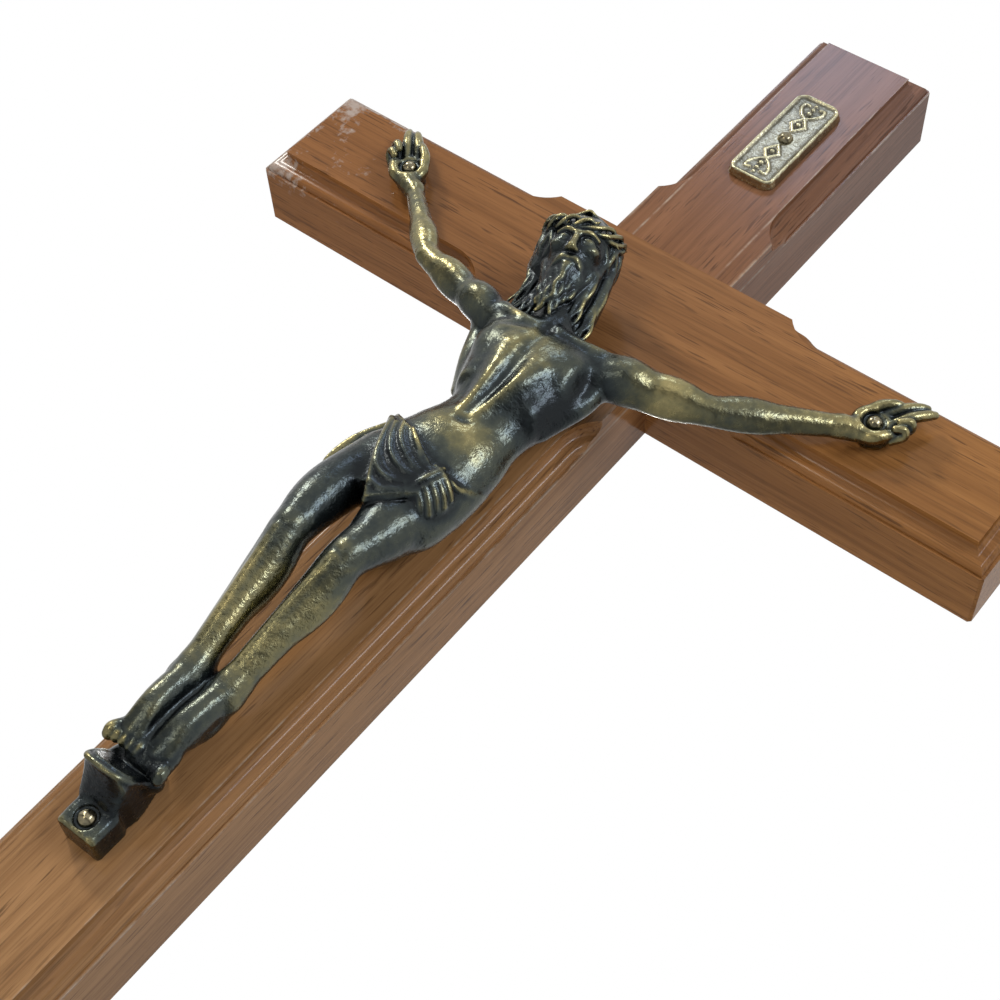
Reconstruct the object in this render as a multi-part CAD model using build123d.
from build123d import *
from math import cos, pi, radians, sin, tan
import os

# A wall crucifix: two half-lapped moulded timbers, a cast figure, a title plate and domed nails.
# Row frame: x to the viewer's right, y into the wall, z up, origin in the mouth of the hanging hole.
# Everything is drawn in the front frame, from the crossing's centre: x right, y up, z out of the front face.

# Timbers
UPRIGHT_LENGTH = 304.8
CROSSBAR_LENGTH = 177.8
UPRIGHT_WIDTH = 28.6
CROSSBAR_WIDTH = 28.6
TIMBER_THICKNESS = 19.05
UPPER_ARM = 92.3
EASED_EDGE = 0.6

# Hanging hole in the back of the upright
HANG_HOLE_R = 4.0
HANG_HOLE_DEPTH = 9.0
HANG_ABOVE_CROSSING = 72.0

# Ogee moulding, cut by a guided bit that runs round each arm and stops short of the crossing
OGEE_STEP = 1.0
OGEE_COVE_R = 1.7
OGEE_ROUND_R = 1.7
OGEE_LEDGE = 0.6
BIT_GUIDE_R = 6.35
BIT_STOP = 37.0
BIT_OVERRUN = 12.0

# Domed nails, all alike
NAIL_HEAD_R = 1.7
NAIL_DOME = 1.35
NAIL_SHANK_R = 0.8
NAIL_BITE = 12.0
NAIL_POINT = 2.5
NAIL_POINT_ANGLE = 16.0
NAIL_CLEARANCE = 0.15
NAIL_RECESS_MARGIN = 0.5

# Title plate on the upper arm
PLATE_WIDTH = 11.8
PLATE_HEIGHT = 29.6
PLATE_THICKNESS = 2.4
PLATE_CORNER_R = 2.4
PLATE_RIM = 1.3
PLATE_FIELD_DEPTH = 0.7
PLATE_BEVEL = 0.8
PLATE_UP = 55.0

# Seats of the figure on the timbers
HAND_NAIL_X = 57.0
HAND_NAIL_UP = -1.5
HAND_PAD_R = 3.2
PALM_OUT = 3.3
HAND_NAIL_SEAT = 4.3
FOOT_NAIL_UP = -148.4
LUG_WIDTH = 8.6
LUG_DEPTH = 6.4
LUG_BELOW_NAIL = 3.2
LUG_ABOVE_NAIL = 3.4
LUG_CHAMFER = 1.2
LUG_RECESS_DEPTH = 0.5
REST_WIDTH = 9.6
REST_DEPTH = 13.5
REST_MIDDLE_X = -0.7
REST_UNDERCUT = 2.0
REST_LIP = 1.0
REST_FALL_ANGLE = 29.0
REST_CORNER_R = 3.4

# Level sections of the trunk from the neck down, as x, up, out, radius across and radius in depth
TRUNK = (
    (0.9, -24.5, 11.1, 7.0, 4.2),
    (1.8, -30.5, 11.6, 12.4, 6.2),
    (2.4, -38.0, 11.7, 12.2, 7.2),
    (3.0, -45.0, 11.2, 10.0, 6.8),
    (3.1, -49.5, 10.8, 8.9, 6.0),
    (2.0, -57.0, 10.6, 10.7, 6.6),
    (0.9, -66.0, 10.6, 11.8, 7.4),
    (0.6, -75.0, 10.8, 9.6, 6.0),
)

# Joints of the figure's bones, as x, up and out
NECK = (0.6, -27.5, 11.5)
HEAD = (-6.8, -8.2, 14.2)
HEAD_LEAN = (-0.30, 0.92, 0.26)
SHOULDER_LEFT = (-15.6, -27.2, 11.0)
SHOULDER_RIGHT = (16.4, -26.5, 11.0)
ELBOW_LEFT = (-34.2, -21.6, 8.8)
ELBOW_RIGHT = (33.0, -20.5, 8.8)
WRIST_LEFT = (-52.4, -5.8, 4.2)
WRIST_RIGHT = (52.4, -5.8, 4.2)
FINGERTIP = (64.0, 8.4, 3.6)
HIP_LEFT = (-7.6, -67.0, 10.4)
HIP_RIGHT = (6.8, -67.0, 10.2)
KNEE_LEFT = (-7.6, -89.6, 14.3)
KNEE_RIGHT = (4.3, -88.4, 14.4)
ANKLE_LEFT = (-4.3, -119.5, 8.8)
ANKLE_RIGHT = (3.2, -118.5, 8.6)
TOE_LEFT_X = -3.3
TOE_RIGHT_X = 3.3
TOE_OUT = 9.0
TOE_SUNK = 0.8

# Girths of the figure, as radii, and the number of flats round them
BODY_SIDES = 18
LIMB_SIDES = 12
FINGER_SIDES = 8
SHOULDER_R = 4.6
UPPER_ARM_R = 4.0
ELBOW_R = 2.8
FOREARM_R = 3.2
WRIST_R = 2.1
LEFT_ARM_SHARE = 0.82
PALM_ACROSS = 4.2
PALM_DEPTH = 2.9
KNUCKLE_DEPTH = 2.0
FINGER_R = 1.25
FINGER_SPREAD = 1.2
CURLED_FINGER_STEPS = (2.8, 4.4)
THIGH_R = 5.1
KNEE_R = 4.0
CALF_R = 3.9
CALF_BACK = 0.6
ANKLE_R = 2.9
INSTEP_R = 3.1
FOOT_ACROSS = 3.4
FOOT_DEPTH = 2.2
NECK_R = 4.2
FACE_R = 6.0
HAIR_R = 8.6
HAIR_SIDES = 8
LOCK_R = 3.2
BEARD_ACROSS = 5.2
BEARD_DEPTH = 4.6
CROWN_R = 1.3
CROWN_SIDES = 5
CROWN_RISE = 3.0

# Loincloth: level sections of the wrap as x, up, out and radii, and the slopes that cut it off
WRAP = (
    (1.2, -57.0, 10.6, 12.0, 7.6),
    (1.0, -63.0, 10.6, 12.9, 8.6),
    (0.9, -70.0, 10.6, 13.1, 8.9),
    (0.8, -76.0, 10.6, 12.6, 8.6),
    (0.8, -82.0, 10.4, 11.0, 7.6),
)
WRAP_TOP = ((-1.2, -63.4, 0), (0.52, 1, 0))
WRAP_LEFT_HEM = ((-5.0, -64.8, 0), (-0.64, -0.77, 0))
WRAP_RIGHT_END = ((8.6, 0, 0), (1, 0, 0))
FLAP_TOP = ((0, -66.0, 0), (0.30, 1, 0))
FLAP_LEFT_HEM = ((-4.6, -64.8, 0), (-0.94, -0.34, 0))
FLAP_RIGHT_HEM = ((0, -79.2, 0), (0.68, -0.73, 0))
FLAP_BACK = ((0, -70.0, 14.6), (0, 0, -1))
PANEL_TOP = ((0, -66.8, 17.6), (0, 1, 0.66))
PANEL_HEM = ((0, -74.2, 9.0), (0, -1, 0))
PANEL_LEFT_END = ((6.6, 0, 0), (-1, 0, 0))
CLOTH_THICKNESS = 0.4
FIRST_FOLD = ((-2.6, -62.2, 18.9), (1.3, -65.3, 19.1), (4.4, -67.4, 18.5), (7.4, -67.2, 17.5))
LAST_FOLD = ((-9.4, -61.0, 15.6), (-5.0, -69.0, 18.5), (-1.4, -72.0, 19.3), (5.4, -71.4, 18.3))
FOLDS = 4
FOLD_R = 0.9
FOLD_SIDES = 6
KNOT = (8.6, -68.8, 17.2)
KNOT_R = 2.0
KNOT_TAILS = ((11.8, -68.4, 15.8), (11.4, -72.6, 15.2), (9.7, -75.4, 14.6))
TAIL_R = 1.1

TIMBER_FRONT = Plane(
    origin=(0, -TIMBER_THICKNESS, -HANG_ABOVE_CROSSING),
    x_dir=(1, 0, 0),
    z_dir=(0, -1, 0),
)
QUARTER_TURN = Rot(0, 0, 90)
OGEE_WIDTH = OGEE_LEDGE + OGEE_ROUND_R + OGEE_COVE_R
OGEE_DEPTH = OGEE_STEP + OGEE_COVE_R + OGEE_ROUND_R
PLATE_SEAT = PLATE_THICKNESS - PLATE_FIELD_DEPTH
LUG_SEAT = LUG_DEPTH - LUG_RECESS_DEPTH
LUG_TOP_UP = FOOT_NAIL_UP + LUG_ABOVE_NAIL
REST_UNDER_UP = LUG_TOP_UP + REST_UNDERCUT
REST_EDGE_UP = REST_UNDER_UP + REST_LIP
REST_FALL = tan(radians(REST_FALL_ANGLE))
TOE_UP = REST_EDGE_UP + REST_FALL * (REST_DEPTH - TOE_OUT) - TOE_SUNK
TOE_LEFT = (TOE_LEFT_X, TOE_UP, TOE_OUT)
TOE_RIGHT = (TOE_RIGHT_X, TOE_UP, TOE_OUT)


def ogee_section():
    """Half of the bit's outline, from its axis out to the moulding's step, in the x-z plane."""
    step = BIT_GUIDE_R + OGEE_WIDTH
    inflection = step - OGEE_COVE_R
    ledge = BIT_GUIDE_R + OGEE_LEDGE
    inflection_z = -OGEE_STEP - OGEE_COVE_R
    outline = Polyline(
        (0, -OGEE_DEPTH),
        (0, OGEE_STEP),
        (step, OGEE_STEP),
        (step, -OGEE_STEP),
    )
    cove = RadiusArc((step, -OGEE_STEP), (inflection, inflection_z), OGEE_COVE_R)
    bead = RadiusArc((inflection, inflection_z), (ledge, -OGEE_DEPTH), -OGEE_ROUND_R)
    floor = Line((ledge, -OGEE_DEPTH), (0, -OGEE_DEPTH))
    return Plane.XZ * make_face([outline, cove, bead, floor])


def moulding_cut(start, end, stopped):
    """What the bit clears along x from start to end, with the guided edge at y=0 and the wood at y>0."""
    section = Rot(0, 0, 90) * ogee_section()
    run = Pos(start, -BIT_GUIDE_R, 0) * extrude(section, end - start, dir=(1, 0, 0))
    if not stopped:
        return [run]
    bit = revolve(ogee_section(), Axis.Z)
    return [run, Pos(start, -BIT_GUIDE_R, 0) * bit]


def arm_moulding(length, width):
    """The moulding cuts of one arm that reaches along x from the crossing: both sides and the end."""
    side = Pos(0, -width / 2, 0) * Part(children=moulding_cut(BIT_STOP, length + BIT_OVERRUN, True))
    across = moulding_cut(-width / 2 - BIT_OVERRUN, width / 2 + BIT_OVERRUN, False)
    end = Pos(length, 0, 0) * QUARTER_TURN * Part(children=across)
    cuts = []
    for group in (side, mirror(side, Plane.XZ), end):
        cuts += group.solids()
    return cuts


def timber(backward, forward, width):
    """A timber along x that reaches backward and forward of the crossing, moulded round both arms."""
    blank = Pos((forward - backward) / 2, 0, -TIMBER_THICKNESS / 2) * Box(
        forward + backward, width, TIMBER_THICKNESS
    )
    front_edges = blank.faces().sort_by(Axis.Z)[-1].edges()
    blank = chamfer([edge for edge in blank.edges() if edge not in front_edges], EASED_EDGE)
    cuts = arm_moulding(forward, width)
    cuts += [Rot(0, 0, 180) * cut for cut in arm_moulding(backward, width)]
    return blank - cuts


def nail_hole(x, up):
    """The tight hole that a driven nail leaves in the timbers."""
    return Pos(x, up, 0) * nail(0)


def nail(seat):
    """A domed nail whose head sits seat in front of the timbers, with a four-sided point in the wood."""
    top = seat + NAIL_DOME
    cap_r = (NAIL_HEAD_R**2 + NAIL_DOME**2) / (2 * NAIL_DOME)
    dome = RadiusArc((0, top), (NAIL_HEAD_R, seat), cap_r)
    rest = Polyline(
        (NAIL_HEAD_R, seat),
        (NAIL_SHANK_R, seat),
        (NAIL_SHANK_R, -NAIL_BITE),
        (0, -NAIL_BITE),
        (0, top),
    )
    blank = revolve(Plane.XZ * make_face([dome, rest]), Axis.Z)
    flat = Pos(NAIL_SHANK_R, 0, NAIL_POINT - NAIL_BITE) * Rot(0, NAIL_POINT_ANGLE, 0) * Box(
        2 * NAIL_SHANK_R, 4 * NAIL_SHANK_R, 4 * NAIL_POINT, align=(Align.MIN, Align.CENTER, Align.MAX)
    )
    return blank - [Rot(0, 0, turn) * flat for turn in (0, 90, 180, 270)]


def crossbar():
    """The crossbar, whole in front, housed from behind over the upright."""
    lap = Pos(0, 0, -TIMBER_THICKNESS) * Box(
        UPRIGHT_WIDTH, CROSSBAR_WIDTH, TIMBER_THICKNESS
    )
    arm = CROSSBAR_LENGTH / 2
    body = timber(arm, arm, CROSSBAR_WIDTH) - lap
    return body - [nail_hole(side * HAND_NAIL_X, HAND_NAIL_UP) for side in (-1, 1)]


def upright():
    """The upright, housed in front for the crossbar and bored behind for the wall peg."""
    lap = Box(UPRIGHT_WIDTH, CROSSBAR_WIDTH, TIMBER_THICKNESS)
    body = QUARTER_TURN * timber(UPRIGHT_LENGTH - UPPER_ARM, UPPER_ARM, UPRIGHT_WIDTH) - lap
    hole_middle = HANG_HOLE_DEPTH / 2 - TIMBER_THICKNESS
    hang_hole = Pos(0, HANG_ABOVE_CROSSING, hole_middle) * Cylinder(HANG_HOLE_R, HANG_HOLE_DEPTH)
    return body - [hang_hole, nail_hole(0, PLATE_UP), nail_hole(0, FOOT_NAIL_UP)]


def title_plate():
    """A round-cornered plate with a raised rim, held by one nail through its field."""
    outline = RectangleRounded(PLATE_WIDTH, PLATE_HEIGHT, PLATE_CORNER_R)
    field = RectangleRounded(
        PLATE_WIDTH - 2 * PLATE_RIM,
        PLATE_HEIGHT - 2 * PLATE_RIM,
        PLATE_CORNER_R - PLATE_RIM,
    )
    plate = extrude(outline, PLATE_THICKNESS)
    plate = chamfer(plate.faces().sort_by(Axis.Z)[-1].edges(), PLATE_BEVEL)
    plate -= Pos(0, 0, PLATE_SEAT) * extrude(field, PLATE_THICKNESS)
    plate -= Cylinder(NAIL_SHANK_R + NAIL_CLEARANCE, 4 * PLATE_THICKNESS)
    return Pos(0, PLATE_UP, 0) * plate


def between(start, end, share):
    """The point at a share of the way from start to end."""
    return tuple(a + (b - a) * share for a, b in zip(start, end))


def offset(point, dx, dup, dout):
    """A point moved by dx, dup and dout."""
    return (point[0] + dx, point[1] + dup, point[2] + dout)


def eased(rows, share):
    """The row at a share of the way along rows, on a smooth curve through all of them."""
    place = share * (len(rows) - 1)
    i = min(int(place), len(rows) - 2)
    t = place - i
    around = zip(rows[max(i - 1, 0)], rows[i], rows[i + 1], rows[min(i + 2, len(rows) - 1)])
    return [
        b + 0.5 * t * (c - a + t * (2 * a - 5 * b + 4 * c - d + t * (3 * (b - c) + d - a)))
        for a, b, c, d in around
    ]


def section(across, depth, sides):
    """A polygon of that many sides inside an ellipse."""
    turns = [2 * pi * i / sides for i in range(sides)]
    return Polygon(*[(across * cos(turn), depth * sin(turn)) for turn in turns], align=None)


def limb(strips, *stations, sides):
    """A solid of short strips along a curve through (point, radius across, radius in depth) stations."""
    rows = [(*point, across, depth) for point, across, depth in stations]
    spans = [eased(rows, i / strips) for i in range(strips + 1)]
    points = [Vector(*span[:3]) for span in spans]
    sections = []
    for i, span in enumerate(spans):
        run = points[min(i + 1, strips)] - points[max(i - 1, 0)]
        plane = Plane(origin=points[i], x_dir=run.cross(Vector(0, 0, 1)), z_dir=run)
        sections.append(plane * section(*span[3:], sides))
    return loft(sections, ruled=True)


def level(up, x=0, out=0):
    """A level plane at a height, whose y runs out of the timbers."""
    return Plane(origin=(x, up, out), x_dir=(-1, 0, 0), z_dir=(0, 1, 0))


def level_loft(strips, rows):
    """A solid lofted through level ellipses: rows of x, up, out, radius across and radius in depth."""
    outlines = []
    for i in range(strips + 1):
        x, up, out, across, depth = eased(rows, i / strips)
        outlines.append(level(up, x, out) * section(across, depth, BODY_SIDES))
    return loft(outlines, ruled=True)


def beyond(point, normal):
    """Everything past a slope through a point, on the side that its normal shows."""
    side = CROSSBAR_LENGTH
    past = Box(side, side, side, align=(Align.CENTER, Align.CENTER, Align.MIN))
    return Plane(origin=point, z_dir=normal) * past


def torso():
    """Chest, waist and hips, swaying from the shoulders over to the bent knees."""
    return level_loft(10, TRUNK)


def arm(shoulder, elbow, wrist, share):
    """One arm from inside the chest to the wrist, with its upper girths scaled by a share."""
    inside = between(shoulder, NECK, 0.35)
    upper = share * UPPER_ARM_R
    lower = share * FOREARM_R
    return limb(
        8,
        (inside, share * SHOULDER_R, share * SHOULDER_R),
        (shoulder, share * SHOULDER_R, share * SHOULDER_R),
        (between(shoulder, elbow, 0.5), upper, upper),
        (elbow, share * ELBOW_R, share * ELBOW_R),
        (between(elbow, wrist, 0.4), lower, lower),
        (wrist, WRIST_R, WRIST_R),
        sides=LIMB_SIDES,
    )


def finger(strips, *stations):
    """A round finger through (point, radius) stations, with a blunt rounded tip past the last."""
    (before, _), (last, last_r) = stations[-2:]
    reach = Vector(*last) - Vector(*before)
    tip = Vector(*last) + reach.normalized() * 0.6 * last_r
    rows = [(point, radius, radius) for point, radius in stations]
    rows.append((tuple(tip), 0.5 * last_r, 0.5 * last_r))
    return limb(strips, *rows, sides=FINGER_SIDES)


def hand():
    """The viewer's right hand: a palm on a flat pad, two straight fingers, two curled ones and the thumb."""
    palm = (HAND_NAIL_X, HAND_NAIL_UP, PALM_OUT)
    knuckles = between(palm, FINGERTIP, 0.38)
    pieces = [
        Pos(HAND_NAIL_X, HAND_NAIL_UP) * extrude(RegularPolygon(HAND_PAD_R, LIMB_SIDES), PALM_OUT),
        limb(
            4,
            (WRIST_RIGHT, WRIST_R, WRIST_R),
            (palm, PALM_ACROSS, PALM_DEPTH),
            (knuckles, 0.9 * PALM_ACROSS, KNUCKLE_DEPTH),
            (between(knuckles, FINGERTIP, 0.12), 0.7 * PALM_ACROSS, 0.6 * KNUCKLE_DEPTH),
            sides=LIMB_SIDES,
        ),
    ]
    reach = Vector(*FINGERTIP) - Vector(*palm)
    across = reach.cross(Vector(0, 0, 1)).normalized()

    def aside(point, steps, forward=0.0, out=0.0):
        moved = Vector(*point) + across * steps + reach.normalized() * forward
        return (moved.X, moved.Y, moved.Z + out)

    for step in (-FINGER_SPREAD, FINGER_SPREAD):
        root = aside(knuckles, step, out=0.3)
        pieces.append(finger(2, (root, FINGER_R), (aside(FINGERTIP, step), 0.8 * FINGER_R)))
    for step in CURLED_FINGER_STEPS:
        root = aside(knuckles, step, -0.8, -0.4)
        bend = aside(root, 0, 2 * FINGER_R - 0.4, 2.4)
        tip = aside(root, -0.3, -0.5, 3.4)
        pieces.append(finger(6, (root, FINGER_R), (bend, FINGER_R), (tip, 0.9 * FINGER_R)))
    thumb_root = aside(palm, -2.4, -0.4)
    thumb_tip = aside(palm, -2.6, 5.4, 1.6)
    pieces.append(finger(2, (thumb_root, 1.3 * FINGER_R), (thumb_tip, FINGER_R)))
    return pieces


def leg(hip, knee, ankle, toe):
    """A bent leg with its foot stretched down to the rest."""
    shin_r = 0.5 * (CALF_R + ANKLE_R)
    return [
        limb(
            9,
            (hip, THIGH_R, THIGH_R),
            (between(hip, knee, 0.5), THIGH_R, THIGH_R),
            (knee, KNEE_R, KNEE_R),
            (offset(between(knee, ankle, 0.3), 0, 0, -CALF_BACK), CALF_R, CALF_R),
            (between(knee, ankle, 0.7), shin_r, shin_r),
            (ankle, ANKLE_R, ANKLE_R),
            sides=LIMB_SIDES,
        ),
        limb(
            4,
            (between(ankle, knee, 0.06), ANKLE_R, ANKLE_R),
            (between(ankle, toe, 0.4), INSTEP_R, INSTEP_R),
            (between(ankle, toe, 0.8), FOOT_ACROSS, FOOT_DEPTH),
            (toe, 0.9 * FOOT_ACROSS, 0.6 * FOOT_DEPTH),
            sides=LIMB_SIDES,
        ),
    ]


def loincloth():
    """A cloth wound round the hips: folds drawn to a knot on the viewer's right, over a hanging flap."""
    wrap = level_loft(5, WRAP)
    panel = Pos(CLOTH_THICKNESS, 0, 0) * wrap
    flap = Pos(0, -CLOTH_THICKNESS, CLOTH_THICKNESS) * wrap
    pieces = [
        wrap - [beyond(*WRAP_TOP), beyond(*WRAP_LEFT_HEM), beyond(*WRAP_RIGHT_END)],
        panel - [beyond(*PANEL_LEFT_END), beyond(*PANEL_TOP), beyond(*PANEL_HEM)],
        flap - [beyond(*FLAP_TOP), beyond(*FLAP_LEFT_HEM), beyond(*FLAP_RIGHT_HEM), beyond(*FLAP_BACK)],
    ]
    for fold in range(FOLDS):
        share = fold / (FOLDS - 1)
        places = [between(first, last, share) for first, last in zip(FIRST_FOLD, LAST_FOLD)]
        pieces.append(limb(5, *[(place, FOLD_R, FOLD_R) for place in places], sides=FOLD_SIDES))
    pieces.append(
        limb(
            2,
            (offset(KNOT, 0, KNOT_R, 0), 0.7 * KNOT_R, 0.7 * KNOT_R),
            (KNOT, KNOT_R, KNOT_R),
            (offset(KNOT, 0, -KNOT_R, 0), 0.7 * KNOT_R, 0.7 * KNOT_R),
            sides=FOLD_SIDES,
        )
    )
    for tail in KNOT_TAILS:
        pieces.append(limb(2, (KNOT, TAIL_R, TAIL_R), (tail, 0.7 * TAIL_R, 0.7 * TAIL_R), sides=FOLD_SIDES))
    return pieces


def along_head(point, rise):
    """A point moved up the leaning head."""
    return tuple(Vector(*point) + Vector(*HEAD_LEAN).normalized() * rise)


def head():
    """A bowed head leaning to the viewer's left, with long hair, a beard and a wound band round the brow."""
    face = offset(HEAD, 1.0, -2.6, 4.0)
    beard_tip = offset(HEAD, 5.6, -18.0, 5.4)
    brow = along_head(HEAD, CROWN_RISE)
    ring = Plane.XZ * Pos(HAIR_R, 0) * RegularPolygon(CROWN_R, CROWN_SIDES)
    return [
        limb(2, (NECK, NECK_R, NECK_R), (HEAD, NECK_R, NECK_R), sides=LIMB_SIDES),
        limb(
            8,
            (along_head(HEAD, -7.6), 0.55 * HAIR_R, 0.55 * HAIR_R),
            (along_head(HEAD, -3.0), 0.95 * HAIR_R, 0.95 * HAIR_R),
            (along_head(HEAD, 1.5), HAIR_R, HAIR_R),
            (along_head(HEAD, 5.6), 0.80 * HAIR_R, 0.80 * HAIR_R),
            (along_head(HEAD, 8.6), 0.25 * HAIR_R, 0.25 * HAIR_R),
            sides=LIMB_SIDES,
        ),
        limb(
            4,
            (along_head(face, -5.0), 0.60 * FACE_R, 0.60 * FACE_R),
            (face, FACE_R, FACE_R),
            (along_head(face, 4.4), 0.80 * FACE_R, 0.80 * FACE_R),
            sides=LIMB_SIDES,
        ),
        Plane(origin=brow, z_dir=HEAD_LEAN) * revolve(ring, Axis.Z),
        limb(
            4,
            (offset(face, 0.6, -2.0, 0.4), BEARD_ACROSS, BEARD_DEPTH),
            (between(face, beard_tip, 0.6), 0.8 * BEARD_ACROSS, 0.75 * BEARD_DEPTH),
            (beard_tip, 0.3 * BEARD_ACROSS, 0.3 * BEARD_DEPTH),
            sides=HAIR_SIDES,
        ),
        limb(
            5,
            (offset(HEAD, 6.0, 1.0, -1.5), LOCK_R, LOCK_R),
            (offset(HEAD, 9.0, -8.5, -2.2), LOCK_R, LOCK_R),
            (offset(HEAD, 10.4, -19.5, -2.0), 0.6 * LOCK_R, 0.6 * LOCK_R),
            sides=HAIR_SIDES,
        ),
        limb(
            5,
            (offset(HEAD, -4.8, -2.0, -1.5), LOCK_R, LOCK_R),
            (offset(HEAD, -4.6, -9.5, -1.0), LOCK_R, LOCK_R),
            (offset(HEAD, -3.0, -16.5, -1.6), 0.7 * LOCK_R, 0.7 * LOCK_R),
            sides=HAIR_SIDES,
        ),
    ]


def foot_rest():
    """The cast bracket under the feet: a shelf that slopes to its round lip, over a lug for the foot nail."""
    shelf = Rectangle(REST_WIDTH, REST_DEPTH, align=(Align.CENTER, Align.MIN))
    shelf = fillet(shelf.vertices().group_by(Axis.Y)[-1], REST_CORNER_R)
    foot = Rectangle(LUG_WIDTH, LUG_DEPTH, align=(Align.CENTER, Align.MIN))
    foot = fillet(foot.vertices().group_by(Axis.Y)[-1], LUG_CHAMFER)
    under = level(REST_UNDER_UP, REST_MIDDLE_X)
    block = under * extrude(shelf, REST_LIP + REST_FALL * REST_DEPTH)
    return [
        block - beyond((0, REST_EDGE_UP, REST_DEPTH), (0, 1, REST_FALL)),
        loft([level(LUG_TOP_UP) * foot, under * shelf], ruled=True),
        level(FOOT_NAIL_UP - LUG_BELOW_NAIL) * extrude(foot, LUG_ABOVE_NAIL + LUG_BELOW_NAIL),
    ]


def nail_seats():
    """What is cleared from the figure for the three nails: a shank hole and a round recess for each head."""
    recess_r = NAIL_HEAD_R + NAIL_RECESS_MARGIN
    places = [
        (-HAND_NAIL_X, HAND_NAIL_UP, HAND_NAIL_SEAT),
        (HAND_NAIL_X, HAND_NAIL_UP, HAND_NAIL_SEAT),
        (0, FOOT_NAIL_UP, LUG_SEAT),
    ]
    cuts = []
    for x, up, seat in places:
        cuts.append(Pos(x, up, 0) * Cylinder(NAIL_SHANK_R + NAIL_CLEARANCE, 4 * LUG_DEPTH))
        cuts.append(Pos(x, up, seat + LUG_DEPTH / 2) * Cylinder(recess_r, LUG_DEPTH))
    return cuts


def corpus():
    """The whole casting: figure and foot rest in one solid, flat where it lies on the timbers."""
    right_hand = hand()
    pieces = right_hand + [mirror(piece, Plane.YZ) for piece in right_hand]
    pieces.append(arm(SHOULDER_LEFT, ELBOW_LEFT, WRIST_LEFT, LEFT_ARM_SHARE))
    pieces.append(arm(SHOULDER_RIGHT, ELBOW_RIGHT, WRIST_RIGHT, 1))
    pieces += leg(HIP_LEFT, KNEE_LEFT, ANKLE_LEFT, TOE_LEFT)
    pieces += leg(HIP_RIGHT, KNEE_RIGHT, ANKLE_RIGHT, TOE_RIGHT)
    pieces += head() + loincloth() + foot_rest()
    casting = torso() + pieces
    behind = Pos(0, 0, -TIMBER_THICKNESS / 2) * Box(CROSSBAR_LENGTH, 2 * UPRIGHT_LENGTH, TIMBER_THICKNESS)
    return casting - [behind, *nail_seats()]


NODES = {
    "upright": upright(),
    "crossbar": crossbar(),
    "corpus": corpus(),
    "title_plate": title_plate(),
    "title_nail": Pos(0, PLATE_UP, 0) * nail(PLATE_SEAT),
    "hand_nail_left": Pos(-HAND_NAIL_X, HAND_NAIL_UP, 0) * nail(HAND_NAIL_SEAT),
    "hand_nail_right": Pos(HAND_NAIL_X, HAND_NAIL_UP, 0) * nail(HAND_NAIL_SEAT),
    "foot_nail": Pos(0, FOOT_NAIL_UP, 0) * nail(LUG_SEAT),
}

os.makedirs("parts", exist_ok=True)
for name, shape in NODES.items():
    export_step(TIMBER_FRONT * shape, f"parts/{name}.step")
